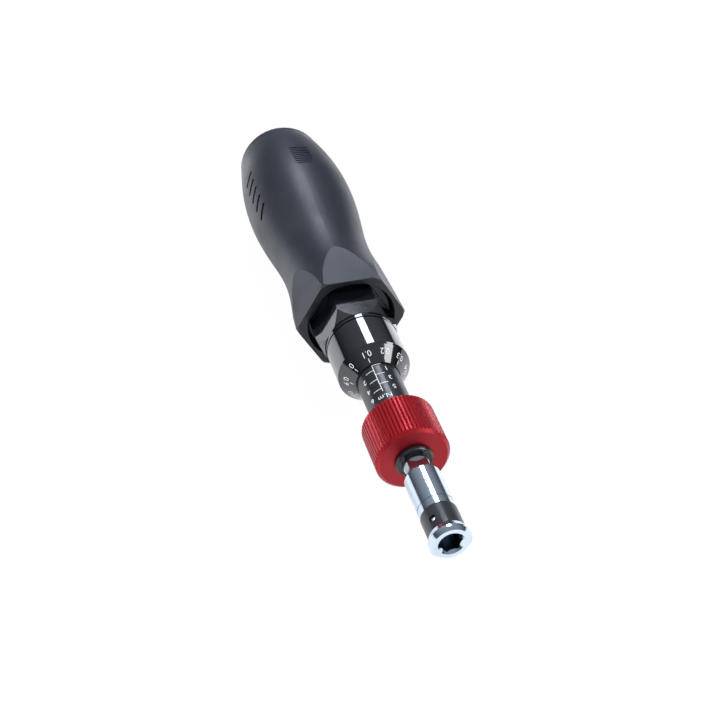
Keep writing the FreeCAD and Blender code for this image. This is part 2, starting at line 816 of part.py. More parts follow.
def make_lock_pins():
    """Two pins that join the lock ring to the dog through the barrel's slots."""
    body = new_body("lock_pins")
    sketch = new_sketch(body, "XZ_Plane")
    add_circle(sketch, S.lock_pin_radius, ZERO, S.lock_pin_station)
    cut_through(body, sketch, S.lock_pin_outer * 2, "Pad")
    sketch = new_sketch(body, "XY_Plane", S.dog_front)
    add_circle(sketch, S.lock_pin_inner)
    extrude(body, sketch, S.dog_length, "Pocket")


def add_face_teeth(body, front, angle):
    """Add a ring of straight dog teeth that stand on a face across the axis."""
    sketch = new_sketch(body, "XY_Plane", front, turn=angle)
    half = S.dog_tooth_width / 2
    inner, outer = S.dog_bore_radius + 0.3, S.dog_radius - 0.1
    add_outline(sketch, [(inner, -half), (outer, -half), (outer, half), (inner, half)])
    tooth = extrude(body, sketch, S.dog_tooth_height)
    repeat_around(body, [tooth], S.dog_tooth_count)


def make_lock_dog():
    """Sleeve that turns with the barrel; its rear teeth catch the hub when pushed back."""
    body = new_body("lock_dog")
    tube(body, S.dog_radius, S.dog_bore_radius, S.dog_front, dog_rear)
    sketch = new_sketch(body, "XZ_Plane")
    add_circle(sketch, S.lock_pin_radius, ZERO, S.lock_pin_station)
    cut_through(body, sketch, S.dog_radius * 3)
    add_face_teeth(body, dog_rear, 0.0)


def make_lock_hub():
    """Toothed hub that turns with the setting spindle, which slides in its bore."""
    body = new_body("lock_hub")
    pilot = S.dog_bore_radius - S.sliding_gap
    revolve(body, [
        (ZERO, S.hub_pilot_front), (pilot, S.hub_pilot_front), (pilot, hub_tooth_root),
        (S.dog_radius, hub_tooth_root), (S.dog_radius, hub_flange_rear),
        (S.hub_journal_radius, hub_flange_rear), (S.hub_journal_radius, S.hub_rear),
        (ZERO, S.hub_rear),
    ])
    sketch = new_sketch(body, "XY_Plane", S.hub_rear)
    add_outline(sketch, hexagon(S.spindle_across_flats + S.running_gap * 2))
    extrude(body, sketch, S.hub_rear - S.hub_bore_front, "Pocket", rearward=False)
    add_face_teeth(body, hub_tooth_front, 180.0 / S.dog_tooth_count.value)


# --- springs and seats ----------------------------------------------------------------


def make_main_spring_group():
    """Front seat, main spring, rear seat and the ball ring that the plug turns on."""
    seat_bore = S.hub_journal_radius + S.sliding_gap
    tube(new_body("front_spring_seat"), follower_radius, seat_bore, follower_rear, front_seat_rear)
    mean_radius = S.barrel_bore_radius - S.spring_side_gap - S.spring_wire / 2
    make_coil(
        "main_spring", S.spring_wire, mean_radius,
        front_seat_rear, S.rear_seat_front, S.spring_coils,
    )
    spindle_clear = S.spindle_across_flats / 2 / COS_30 + S.sliding_gap
    tube(
        new_body("rear_spring_seat"), follower_radius, spindle_clear,
        S.rear_seat_front, rear_seat_rear,
    )
    balls = DOC.addObject("Part::Feature", "thrust_balls")
    count = int(S.thrust_ball_count.value)
    station = rear_seat_rear.value + S.thrust_ball_radius.value + 0.01
    balls.Shape = Part.makeCompound([
        Part.makeSphere(
            S.thrust_ball_radius.value,
            polar(S.thrust_ball_circle.value, i * 360.0 / count, station),
        )
        for i in range(count)
    ])
    balls.Placement = LAID
    mark_part(balls, "thrust_balls")


# --- thimble and what it carries ------------------------------------------------------


def make_thimble():
    """Micrometer thimble: bevelled dial, grip cylinder, hexagon and rear sleeve."""
    body = new_body("thimble")
    groove_radius = S.thimble_radius - S.thimble_groove_depth
    groove_rear = S.thimble_groove_front + S.thimble_groove_width
    corner = S.hex_across_flats / 2 / COS_30
    nut_rear = S.nut_front + S.nut_length
    revolve(body, [
        (bore_radius, S.thimble_front), (S.bevel_small_radius, S.thimble_front),
        (S.thimble_radius - S.rim_width, S.bevel_rear), (S.thimble_radius, S.bevel_rear + S.rim_width),
        (S.thimble_radius, S.thimble_groove_front), (groove_radius, S.thimble_groove_front),
        (groove_radius, groove_rear), (S.thimble_radius, groove_rear),
        (S.thimble_radius, S.hex_front), (S.hex_chamfer_radius, S.hex_front),
        (corner, S.hex_front + S.hex_chamfer_length), (corner, S.hex_rear),
        (sleeve_radius, S.hex_rear), (sleeve_radius, S.sleeve_rear),
        (S.nut_radius, S.sleeve_rear), (S.nut_radius, S.nut_front),
        (bore_radius, S.nut_front),
    ])
    sketch = new_sketch(body, "XY_Plane", S.hex_front)
    add_circle(sketch, corner + S.cut_margin)
    add_outline(sketch, hexagon(S.hex_across_flats))
    extrude(body, sketch, S.hex_rear - S.hex_front, "Pocket")
    tube(new_body("setting_nut"), S.nut_radius, bore_radius, S.nut_front, nut_rear)


def make_setting_core():
    """Plug that loads the spring, the hexagonal spindle through it and its nut."""
    plug = new_body("adjusting_plug")
    spindle_hole = S.spindle_across_flats + S.running_gap
    revolve(plug, [
        (ZERO, plug_front), (S.plug_stem_radius, plug_front),
        (S.plug_stem_radius, S.plug_head_front), (S.nut_radius, S.plug_head_front),
        (S.nut_radius, plug_rear), (ZERO, plug_rear),
    ])
    sketch = new_sketch(plug, "XY_Plane", plug_front)
    add_outline(sketch, hexagon(spindle_hole))
    extrude(plug, sketch, plug_rear - plug_front, "Pocket")
    spindle = new_body("setting_spindle")
    sketch = new_sketch(spindle, "XY_Plane", S.spindle_front)
    add_outline(sketch, hexagon(S.spindle_across_flats))
    extrude(spindle, sketch, S.spindle_rear - S.spindle_front)
    nut = new_body("spindle_nut")
    sketch = new_sketch(nut, "XY_Plane", plug_rear)
    add_outline(sketch, hexagon(S.spindle_nut_across_flats))
    add_outline(sketch, hexagon(spindle_hole))
    extrude(nut, sketch, S.spindle_nut_thickness)


# --- handle ---------------------------------------------------------------------------


def handle_rings():
    """Stations and radii of the moulded handle behind its flange."""
    return [
        (flange_rear_station, S.flange_rear_radius),
        (flange_rear_station + S.neck_setback, S.neck_radius),
        (S.waist_station, S.waist_radius),
        (swell_station, S.swell_radius),
        (belly_station, S.belly_radius),
        (shoulder_station, S.shoulder_radius),
        (cap_joint, S.cap_radius),
    ]


def handle_radius(station):
    """Radius of the handle near a station, between the rings on both sides of it."""
    rings = [(z.value, r.value) for z, r in handle_rings()]
    for (front, first), (rear, second) in zip(rings, rings[1:]):
        if front <= station <= rear:
            return first + (second - first) * (station - front) / (rear - front)
    return rings[-1][1]


def surface_slot(body, station, angle, length, width, depth, slant):
    """Cut one straight slot into the handle's skin, slanted from the round direction."""
    sketch = radial_sketch(body, angle)
    turn = sketch.AttachmentOffset.Rotation
    floor = handle_radius(station) - depth.value
    sketch.AttachmentOffset = Placement(turn.multVec(Vector(0, 0, floor)), turn)
    lean = math.radians(slant)
    along = Vector(math.cos(lean), math.sin(lean), 0) * (length.value / 2)
    across = Vector(-math.sin(lean), math.cos(lean), 0) * (width.value / 2)
    middle = Vector(0, station, 0)
    corners = [middle + along + across, middle - along + across,
               middle - along - across, middle + along - across]
    add_outline(sketch, [(corner.x, corner.y) for corner in corners])
    return extrude(body, sketch, S.belly_radius, "Pocket", rearward=True)


def make_handle():
    """Moulded handle: hexagonal flange, waist, belly and grooves for the grip."""
    body = new_body("handle")
    revolve(body, [
        (ZERO, S.handle_front), (S.flange_corner_radius - S.flange_edge, S.handle_front),
        (S.flange_corner_radius, S.handle_front + S.flange_edge),
        (S.flange_rear_radius, flange_rear_station), (ZERO, flange_rear_station),
    ])
    loft_sections(body, handle_rings())
    sketch = new_sketch(body, "XY_Plane", S.handle_front)
    add_circle(sketch, S.belly_radius + S.flange_length)
    add_outline(sketch, hexagon(S.flange_across_flats))
    extrude(body, sketch, S.waist_station - S.handle_front, "Pocket")
    dish_floor = S.handle_front + S.dish_depth
    revolve(body, [
        (ZERO, S.handle_front), (S.dish_radius, S.handle_front),
        (S.dish_radius - S.dish_slope, dish_floor), (ZERO, dish_floor),
    ], "Groove")
    sketch = new_sketch(body, "XY_Plane", S.handle_front)
    add_outline(sketch, hexagon(S.hex_across_flats + S.hex_recess_gap * 2))
    extrude(body, sketch, S.hex_rear + S.running_gap - S.handle_front, "Pocket")
    sketch = new_sketch(body, "XY_Plane", S.handle_front)
    add_circle(sketch, sleeve_radius + S.core_gap)
    extrude(body, sketch, S.core_rear - S.handle_front, "Pocket")
    sketch = new_sketch(body, "XY_Plane", cap_joint)
    add_circle(sketch, S.cap_spigot_radius + S.core_gap)
    extrude(body, sketch, S.cap_spigot_length + S.cap_spigot_clearance, "Pocket", rearward=False)
    for side in (0, 180):
        cut_grip_grooves(body, side)


def cut_grip_grooves(body, side):
    """Cut the slanted grooves and the fine ribbed panel of one side of the handle."""
    middle = (S.grip_groove_count.value - 1) / 2
    for i in range(int(S.grip_groove_count.value)):
        surface_slot(
            body, belly_station.value + (i - middle) * S.grip_groove_pitch.value,
            S.grip_groove_angle.value + side, S.grip_groove_length, S.grip_groove_width,
            S.grip_groove_depth, S.grip_groove_slant.value,
        )
    middle = (S.rib_groove_count.value - 1) / 2
    panel = belly_station.value + S.grip_groove_length.value
    for i in range(int(S.rib_groove_count.value)):
        surface_slot(
            body, panel + (i - middle) * S.rib_groove_pitch.value,
            S.rib_groove_angle.value + side, S.rib_groove_length, S.rib_groove_width,
            S.rib_groove_depth, 0,
        )


def loft_sections(body, rings):
    """Loft smoothly through circles given as (station, radius)."""
    sketches = []
    for station, radius in rings:
        sketch = new_sketch(body, "XY_Plane", station)
        add_circle(sketch, radius)
        sketches.append(sketch)
    loft = body.newObject("PartDesign::AdditiveLoft", f"{body.Name}_loft")
    loft.Profile = sketches[0]
    loft.Sections = sketches[1:]
    body.Tip = loft
    DOC.recompute()
    return loft


def make_end_cap():
    """Domed cap with an elliptical outline, pushed into the end of the handle."""
    body = new_body("end_cap")
    dome = body.newObject("PartDesign::AdditiveEllipsoid", "end_cap_dome")
    dome.setExpression("Radius1", S.cap_length.formula)
    dome.setExpression("Radius2", S.cap_radius.formula)
    dome.setExpression("Radius3", S.cap_radius.formula)
    dome.Angle1 = 0
    dome.Angle2 = 90
    dome.AttachmentOffset = Placement(Vector(0, 0, cap_joint.value), Rotation())
    plane = next(f for f in body.Origin.OriginFeatures if f.Role == "XY_Plane")
    dome.AttachmentSupport = (plane, [""])
    dome.MapMode = "FlatFace"
    dome.setExpression("AttachmentOffset.Base.z", cap_joint.formula)
    body.Tip = dome
    DOC.recompute()
    sketch = new_sketch(body, "XY_Plane", cap_joint)
    add_circle(sketch, S.cap_spigot_radius)
    extrude(body, sketch, S.cap_spigot_length, "Pad", rearward=False)


def check_document():
    """Stop if any object failed or any sub-part has no valid solid."""
    DOC.recompute()
    for item in DOC.Objects:
        if {"Invalid", "Error"} & set(item.State):
            raise RuntimeError(f"{item.Name} failed: {item.State}")
    for item in PARTS:
        shape = item.Shape
        if shape.isNull() or not shape.isValid() or not shape.Solids:
            raise RuntimeError(f"{item.Label} has no valid shape")


def main():
    make_bit_holder()
    make_retaining_band()
    make_bit_magnet()
    make_ball("bit_ball", S.ball_radius, S.bit_ball_offset, S.bit_socket_turn.value, bit_ball_station)
    make_drive_shaft()
    make_detent()
    make_cam_follower()
    make_barrel()
    make_barrel_fittings()
    make_lock_ring()
    make_lock_pins()
    make_lock_dog()
    make_lock_hub()
    make_main_spring_group()
    make_thimble()
    make_setting_core()
    make_handle()
    make_end_cap()
    check_document()
    os.makedirs("parts", exist_ok=True)
    for item in PARTS:
        item.Shape.exportStep(f"parts/{item.Label}.step")
        print(f"{item.Label}: {len(item.Shape.Solids)} solids, {item.Shape.Volume:.2f} mm3")


main()
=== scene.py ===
"""Dresses the torque screwdriver: finishes, engraved scales, camera and studio light."""
import logging
import math
from dataclasses import dataclass, field
from enum import Enum
from typing import Mapping, Optional, Sequence

import bmesh
import bpy
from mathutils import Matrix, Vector


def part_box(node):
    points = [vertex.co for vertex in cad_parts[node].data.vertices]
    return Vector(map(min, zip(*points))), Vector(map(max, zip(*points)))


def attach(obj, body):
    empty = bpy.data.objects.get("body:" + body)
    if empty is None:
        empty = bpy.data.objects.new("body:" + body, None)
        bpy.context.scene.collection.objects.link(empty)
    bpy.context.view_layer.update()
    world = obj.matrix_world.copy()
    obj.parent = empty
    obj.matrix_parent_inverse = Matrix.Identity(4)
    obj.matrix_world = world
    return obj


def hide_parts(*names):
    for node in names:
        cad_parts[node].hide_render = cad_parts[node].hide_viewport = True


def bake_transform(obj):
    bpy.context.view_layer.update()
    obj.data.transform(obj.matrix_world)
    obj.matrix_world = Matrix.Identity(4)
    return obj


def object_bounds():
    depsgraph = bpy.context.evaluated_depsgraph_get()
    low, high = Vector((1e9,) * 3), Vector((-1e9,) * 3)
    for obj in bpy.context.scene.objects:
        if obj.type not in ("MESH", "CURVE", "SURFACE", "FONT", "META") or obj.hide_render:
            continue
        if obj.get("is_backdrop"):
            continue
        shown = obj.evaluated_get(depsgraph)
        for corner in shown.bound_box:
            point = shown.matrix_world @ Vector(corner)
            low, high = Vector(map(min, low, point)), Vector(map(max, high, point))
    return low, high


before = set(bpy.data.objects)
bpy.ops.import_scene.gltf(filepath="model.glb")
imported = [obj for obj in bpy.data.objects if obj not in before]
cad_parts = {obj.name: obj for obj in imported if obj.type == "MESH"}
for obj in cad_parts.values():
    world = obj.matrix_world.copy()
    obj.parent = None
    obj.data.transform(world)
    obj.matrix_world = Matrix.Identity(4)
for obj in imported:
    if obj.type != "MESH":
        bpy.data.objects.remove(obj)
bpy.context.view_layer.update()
LOG = logging.getLogger("torque_screwdriver")
MM = 0.001

DATUM_ANGLE = -19.0  # where the scale is read, in degrees from straight up towards +X
BEVEL_FRONT = 75.2  # station of the thimble's front edge at the stored setting

LINE_STRETCH = 14.0  # how much finer the grain runs along the axis than round it
GRAIN_DETAIL, DRIFT_DETAIL = 2.0, 3.0  # octaves in each noise
DRIFT_LOW, DRIFT_HIGH = 0.3, 0.7  # the part of the noise's range that varies the gloss
LOWEST_ROUGHNESS = 0.02
ARC_STEP = 3.0  # most degrees between the points of a line round the axis
LENGTH_STEPS = 4  # divisions of a line along the axis
FIGURE_SIZE = 1.38  # text size for a figure of unit height
FIGURE_EDGE = 0.25  # longest edge of a figure before it is split, as a share of its height
FIGURE_CURVE_STEPS = 3  # straight pieces in each curve of a figure


# --- small helpers ----------------------------------------------------------------------


def srgb(code: str) -> tuple[float, float, float, float]:
    """Turn an sRGB hex colour into the linear colour that a shader socket takes.

    Args:
        code: six hexadecimal digits, with or without a leading '#'.

    Returns:
        Linear red, green, blue and an alpha of 1.
    """
    digits = code.lstrip("#")
    channels = [int(digits[i:i + 2], 16) / 255 for i in (0, 2, 4)]
    linear = [c / 12.92 if c <= 0.04045 else ((c + 0.055) / 1.055) ** 2.4 for c in channels]
    return (linear[0], linear[1], linear[2], 1.0)


def add_node(
    tree: bpy.types.NodeTree,
    kind: str,
    settings: Optional[Mapping[str, object]] = None,
    inputs: Optional[Mapping[str, object]] = None,
) -> bpy.types.Node:
    """Add one node, set its properties and fill or link its input sockets.

    Args:
        tree: node tree to add to.
        kind: Blender's node type name.
        settings: properties of the node itself.
        inputs: socket name or index to a value, or to an output socket to link from.

    Returns:
        The new node.
    """
    node = tree.nodes.new(kind)
    for name, value in (settings or {}).items():
        setattr(node, name, value)
    for name, value in (inputs or {}).items():
        socket = node.inputs[name]
        if isinstance(value, bpy.types.NodeSocket):
            tree.links.new(value, socket)
        else:
            socket.default_value = value
    return node


def new_material(name: str) -> tuple[bpy.types.Material, bpy.types.NodeTree]:
    """Start an empty node material and return it with its tree."""
    material = bpy.data.materials.new(name)
    material.use_nodes = True
    material.node_tree.nodes.clear()
    return material, material.node_tree


def finish_surface(tree: bpy.types.NodeTree, shader: bpy.types.Node) -> None:
    """Link a shader to the material's output."""
    add_node(tree, "ShaderNodeOutputMaterial", inputs={"Surface": shader.outputs[0]})


def object_from_mesh(name: str, mesh: bpy.types.Mesh) -> bpy.types.Object:
    """Put a mesh into the scene as an object at the origin."""
    thing = bpy.data.objects.new(name, mesh)
    bpy.context.scene.collection.objects.link(thing)
    return thing


def on_axis(radius: float, angle: float, station: float) -> Vector:
    """Point about the tool's axis.

    Args:
        radius: distance from the axis in millimetres.
        angle: degrees from straight up towards +X.
        station: distance along +Y from the bit socket's mouth in millimetres.

    Returns:
        The point in metres.
    """
    turn = math.radians(angle)
    return Vector((radius * math.sin(turn), station, radius * math.cos(turn))) * MM


# --- finishes ---------------------------------------------------------------------------


@dataclass(frozen=True)
class Finish:
    """A surface made from one principled shader with fine relief and colour drift.

    One noise, at the size of the process's own marks, makes the relief. A slower one varies
    the roughness and the tint, as handling and light wear do.
    """

    name: str
    colour: str
    drift_colour: str
    metallic: float = 0.0
    roughness: float = 0.5
    roughness_spread: float = 0.05
    coat: float = 0.0
    coat_roughness: float = 0.05
    grain_mm: float = 0.3
    grain_depth_mm: float = 0.004
    drift_mm: float = 12.0
    lines_round_axis: bool = False

    def build(self) -> bpy.types.Material:
        """Build the node material.

        Returns:
            The new material.
        """
        material, tree = new_material(self.name)
        where = add_node(tree, "ShaderNodeTexCoord").outputs["Object"]
        drift = add_node(
            tree, "ShaderNodeTexNoise",
            inputs={"Vector": where, "Scale": 1.0 / (self.drift_mm * MM), "Detail": DRIFT_DETAIL},
        ).outputs["Fac"]
        stretch = (1.0, LINE_STRETCH, 1.0) if self.lines_round_axis else (1.0, 1.0, 1.0)
        stretched = add_node(
            tree, "ShaderNodeMapping", inputs={"Vector": where, "Scale": stretch}
        ).outputs["Vector"]
        grain = add_node(
            tree, "ShaderNodeTexNoise",
            inputs={"Vector": stretched, "Scale": 1.0 / (self.grain_mm * MM), "Detail": GRAIN_DETAIL},
        ).outputs["Fac"]
        tint = add_node(
            tree, "ShaderNodeMix", {"data_type": "RGBA"},
            {0: drift, 6: srgb(self.colour), 7: srgb(self.drift_colour)},
        ).outputs[2]
        rough = add_node(
            tree, "ShaderNodeMapRange",
            inputs={
                "Value": drift, "From Min": DRIFT_LOW, "From Max": DRIFT_HIGH,
                "To Min": max(self.roughness - self.roughness_spread, LOWEST_ROUGHNESS),
                "To Max": self.roughness + self.roughness_spread,
            },
        ).outputs["Result"]
        relief = add_node(
            tree, "ShaderNodeBump",
            inputs={"Height": grain, "Distance": self.grain_depth_mm * MM, "Strength": 1.0},
        ).outputs["Normal"]
        shader = add_node(
            tree, "ShaderNodeBsdfPrincipled",
            inputs={
                "Base Color": tint, "Metallic": self.metallic, "Roughness": rough,
                "Normal": relief, "Coat Weight": self.coat,
                "Coat Roughness": self.coat_roughness,
            },
        )
        finish_surface(tree, shader)
        return material


class Finishes(Enum):
    """Every finish on the tool, named for the material and how it was made."""

    # moulded thermoplastic elastomer: a fine spark-eroded grain, soft wide highlights
    HANDLE_ELASTOMER = Finish(
        "moulded_elastomer", "#111622", "#0e121c", roughness=0.44, grain_mm=0.35,
        grain_depth_mm=0.012,
    )
    # polished aluminium, black anodised and sealed: mirror-like dark gloss
    DIAL_ANODISED = Finish(
        "polished_black_anodised_aluminium", "#08090c", "#0a0b0f", roughness=0.09,
        roughness_spread=0.02, coat=0.6, coat_roughness=0.04, grain_mm=0.2,
        grain_depth_mm=0.0006, lines_round_axis=True,
    )
    # fine-turned aluminium, black anodised: satin with faint turning lines
    BARREL_ANODISED = Finish(
        "turned_black_anodised_aluminium", "#14161b", "#101217", roughness=0.32,
        roughness_spread=0.04, grain_mm=0.25, grain_depth_mm=0.002, lines_round_axis=True,
    )
    # bead-blasted aluminium, red anodised: metallic red with a soft sheen
    RING_ANODISED = Finish(
        "blasted_red_anodised_aluminium", "#9a0f1c", "#8a0a16", metallic=0.6,
        roughness=0.38, grain_mm=0.12, grain_depth_mm=0.003,
    )
    # moulded nitrile rubber, oiled: deep black with a soft gloss. The front bush wears it for
    # its dark face, though it isn't rubber
    RETAINER_RUBBER = Finish(
        "moulded_nitrile_rubber", "#0a0b0e", "#0d0e12", roughness=0.22,
        roughness_spread=0.03, grain_mm=0.2, grain_depth_mm=0.001,
    )
    # bright chromium plate on turned steel: cool, nearly mirror-like bands
    HOLDER_CHROME = Finish(
        "bright_chromium_plate", "#bcc6d2", "#b0bac6", metallic=1.0, roughness=0.15,
        roughness_spread=0.02, grain_mm=0.3, grain_depth_mm=0.0006, lines_round_axis=True,
    )
    # ground and hardened chrome-vanadium steel: pale grey with soft reflections
    DRIVE_STEEL = Finish(
        "ground_tool_steel", "#c9cdd2", "#bcc1c7", metallic=1.0, roughness=0.16,
        grain_mm=0.2, grain_depth_mm=0.001,
    )
    # moulded glass-filled nylon: charcoal with a satin sheen
    BAND_NYLON = Finish(
        "moulded_nylon", "#16181d", "#12141a", roughness=0.36, grain_mm=0.2,
        grain_depth_mm=0.003,
    )
    # oiled patented spring wire: dull mid grey metal
    SPRING_STEEL = Finish(
        "patented_spring_wire", "#6f7378", "#5c6066", metallic=1.0, roughness=0.3,
        grain_mm=0.15, grain_depth_mm=0.001,
    )
    # sintered bronze, oil-filled: warm brown and nearly matt
    BUSH_BRONZE = Finish(
        "sintered_bronze", "#b08350", "#9c7143", metallic=1.0, roughness=0.42,
        grain_mm=0.1, grain_depth_mm=0.003,
    )
    # machined free-cutting brass: yellow with faint turning lines
    NUT_BRASS = Finish(
        "machined_brass", "#cfae5d", "#c29f50", metallic=1.0, roughness=0.25,
        grain_mm=0.2, grain_depth_mm=0.001, lines_round_axis=True,
    )
    # filled enamel in the engraving, faintly grey from wear
    SCALE_ENAMEL = Finish(
        "filled_white_enamel", "#d9dbdd", "#c9cbce", roughness=0.5, grain_mm=0.1,
        grain_depth_mm=0.001,
    )


class Wardrobe:
    """Builds each finish once and gives it out by name."""

    def __init__(self) -> None:
        """Start with no finish built."""
        self._built: dict[Finishes, bpy.types.Material] = {}

    def material(self, finish: Finishes) -> bpy.types.Material:
        """Return the material of a finish, building it on first use."""
        if finish not in self._built:
            self._built[finish] = finish.value.build()
        return self._built[finish]

    def dress_node(self, node: str, finish: Finishes) -> None:
        """Give every material slot of a CAD node a finish.

        Args:
            node: name of the CAD node.
            finish: the finish to put on it.
        """
        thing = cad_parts[node]
        for holder in thing.material_slots:
            holder.material = self.material(finish)


# --- engraved marks ---------------------------------------------------------------------


@dataclass(frozen=True)
class MarkSurface:
    """A cylinder or cone about the tool's axis that carries engraved marks.

    Points are given by the distance along the surface towards the handle from its front
    edge, and by the angle from straight up towards +X.
    """

    front_station: float
    front_radius: float
    slope: float = 0.0
    proud: float = 0.015

    def point(self, along: float, angle: float) -> Vector:
        """Point on the surface, in metres."""
        station = self.front_station + along * math.cos(self.slope)
        return on_axis(
            self.radius(along) + self.proud * math.cos(self.slope), angle,
            station - self.proud * math.sin(self.slope),
        )

    def radius(self, along: float) -> float:
        """Radius of the surface in millimetres."""
        return self.front_radius + along * math.sin(self.slope)


@dataclass
class Engraving:
    """Collects lines and figures on one surface into one mesh."""

    name: str
    surface: MarkSurface
    line_width: float = 0.22
    verts: list[Vector] = field(default_factory=list)
    faces: list[tuple[int, ...]] = field(default_factory=list)

    def _strip(self, left: Sequence[Vector], right: Sequence[Vector]) -> None:
        """Add a ribbon between two rows of points."""
        base = len(self.verts)
        count = len(left)
        self.verts.extend(left)
        self.verts.extend(right)
        for i in range(count - 1):
            self.faces.append((base + i, base + i + 1, base + count + i + 1, base + count + i))

    def ring_line(self, along: float, start: float, end: float) -> None:
        """Add a line round the axis.

        Args:
            along: millimetres from the surface's front edge.
            start: first angle in degrees.
            end: last angle in degrees.
        """
        steps = max(2, int(abs(end - start) / ARC_STEP) + 1)
        angles = [start + (end - start) * i / steps for i in range(steps + 1)]
        half = self.line_width / 2
        self._strip(
            [self.surface.point(along - half, a) for a in angles],
            [self.surface.point(along + half, a) for a in angles],
        )

    def length_line(self, angle: float, start: float, end: float) -> None:
        """Add a line along the tool at one angle, between two distances along the surface."""
        span = (end - start) / LENGTH_STEPS
        rows = [start + span * i for i in range(LENGTH_STEPS + 1)]
        left, right = [], []
        for row in rows:
            half = math.degrees(self.line_width / 2 / self.surface.radius(row))
            left.append(self.surface.point(row, angle - half))
            right.append(self.surface.point(row, angle + half))
        self._strip(left, right)

    def figure(self, text: str, along: float, angle: float, height: float) -> None:
        """Add a number or a unit, upright for a reader at the handle's end.

        Args:
            text: the characters.
            along: millimetres from the surface's front edge to the figure's middle.
            angle: angle of the figure's middle in degrees.
            height: height of the figure in millimetres.
        """
        curve = bpy.data.curves.new("figure", "FONT")
        curve.body = text
        curve.size = height * FIGURE_SIZE
        curve.resolution_u = FIGURE_CURVE_STEPS
        curve.align_x = "CENTER"
        curve.align_y = "CENTER"
        holder = bpy.data.objects.new("figure", curve)
        mesh = bpy.data.meshes.new_from_object(holder)
        bm = bmesh.new()
        bm.from_mesh(mesh)
        bmesh.ops.triangulate(bm, faces=bm.faces)
        longest = height * FIGURE_EDGE
        long_edges = [edge for edge in bm.edges if edge.calc_length() > longest]
        bmesh.ops.subdivide_edges(bm, edges=long_edges, cuts=1)
        base = len(self.verts)
        for vert in bm.verts:
            row = along - vert.co.y
            turn = math.degrees(vert.co.x / self.surface.radius(row))
            self.verts.append(self.surface.point(row, angle - turn))
        for face in bm.faces:
            self.faces.append(tuple(base + v.index for v in face.verts))
        bm.free()
        bpy.data.objects.remove(holder)
        bpy.data.meshes.remove(mesh)
        bpy.data.curves.remove(curve)

    def build(self, material: bpy.types.Material, body: str) -> bpy.types.Object:
        """Make the mesh object, ride it on a body and return it."""
        mesh = bpy.data.meshes.new(self.name)
        mesh.from_pydata([tuple(v) for v in self.verts], [], self.faces)
        mesh.materials.append(material)
        mesh.validate()
        marks = object_from_mesh(self.name, mesh)
        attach(marks, body)
        return marks


@dataclass
class BarrelScale:
    """Main scale on the barrel: a datum line with a line for each newton metre."""

    datum_angle: float = DATUM_ANGLE
    bevel_edge: float = BEVEL_FRONT
    first_line_gap: float = 0.12
    pitch: float = 2.3
    last_figure: int = 6
    tick_angle: float = 24.0
    odd_figure_angle: float = 15.0
    even_figure_angle: float = -56.0
    figure_height: float = 2.0
    datum_end: float = 62.2
    unit_station: float = 59.9

    def build(self, wardrobe: Wardrobe) -> bpy.types.Object:
        """Engrave the scale on the barrel.

        Args:
            wardrobe: where the enamel comes from.

        Returns:
            The mesh of the marks.
        """
        low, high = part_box("barrel")
        radius = (high.x - low.x) / 2 / MM
        marks = Engraving("barrel_scale_marks", MarkSurface(0.0, radius))
        marks.length_line(self.datum_angle, self.datum_end, self.bevel_edge + self.pitch)
        for number in range(1, self.last_figure + 1):
            station = self.bevel_edge - self.first_line_gap - self.pitch * (number - 1)
            side = 1 if number % 2 else -1
            marks.ring_line(station, self.datum_angle, self.datum_angle + side * self.tick_angle)
            angle = self.odd_figure_angle if number % 2 else self.even_figure_angle
            marks.figure(str(number), station - self.pitch, angle, self.figure_height)
        marks.figure("N.m", self.unit_station, self.datum_angle, self.figure_height)
        return marks.build(wardrobe.material(Finishes.SCALE_ENAMEL), "barrel")


@dataclass
class ThimbleDial:
    """Ten divisions of a tenth of a newton metre on the thimble's bevel."""

    front_station: float = BEVEL_FRONT
    front_radius: float = 7.45
    rear_station: float = 79.6
    rear_radius: float = 11.5
    divisions: int = 10
    stored_division: int = 1
    tick_start: float = 0.8
    tick_end: float = 2.2
    figure_row: float = 3.75
    figure_height: float = 2.0
    datum_angle: float = DATUM_ANGLE

    def build(self, wardrobe: Wardrobe) -> bpy.types.Object:
        """Engrave the dial on the bevel.

        Args:
            wardrobe: where the enamel comes from.

        Returns:
            The mesh of the marks.
        """
        slope = math.atan2(
            self.rear_radius - self.front_radius, self.rear_station - self.front_station
        )
        surface = MarkSurface(self.front_station, self.front_radius, slope)
        marks = Engraving("thimble_dial_marks", surface)
        step = 360.0 / self.divisions
        for number in range(self.divisions):
            angle = self.datum_angle + (number - self.stored_division) * step
            marks.length_line(angle, self.tick_start, self.tick_end)
            text = "0" if number == 0 else f"0.{number}"
            marks.figure(text, self.figure_row, angle, self.figure_height)
        return marks.build(wardrobe.material(Finishes.SCALE_ENAMEL), "handle")


@dataclass
class SpringCoils:
    """A coil spring whose two ends belong to different bodies; it is copied whole from its CAD node.
    """

    node: str
    front_body: str
    rear_body: str

    def build(self, wardrobe: Wardrobe) -> bpy.types.Object:
        """Put a copy of the CAD node's coils in its place and hide the node.

        Args:
            wardrobe: where the wire's finish comes from.

        Returns:
            The copied coils.
        """
        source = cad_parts[self.node]
        low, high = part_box(self.node)
        mesh = source.data.copy()
        mesh.transform(source.matrix_world)
        mesh.materials.clear()
        mesh.materials.append(wardrobe.material(Finishes.SPRING_STEEL))
        coils = object_from_mesh(f"{self.node}_coils", mesh)
        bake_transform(coils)
        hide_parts(self.node)
        return coils


# --- studio -----------------------------------------------------------------------------


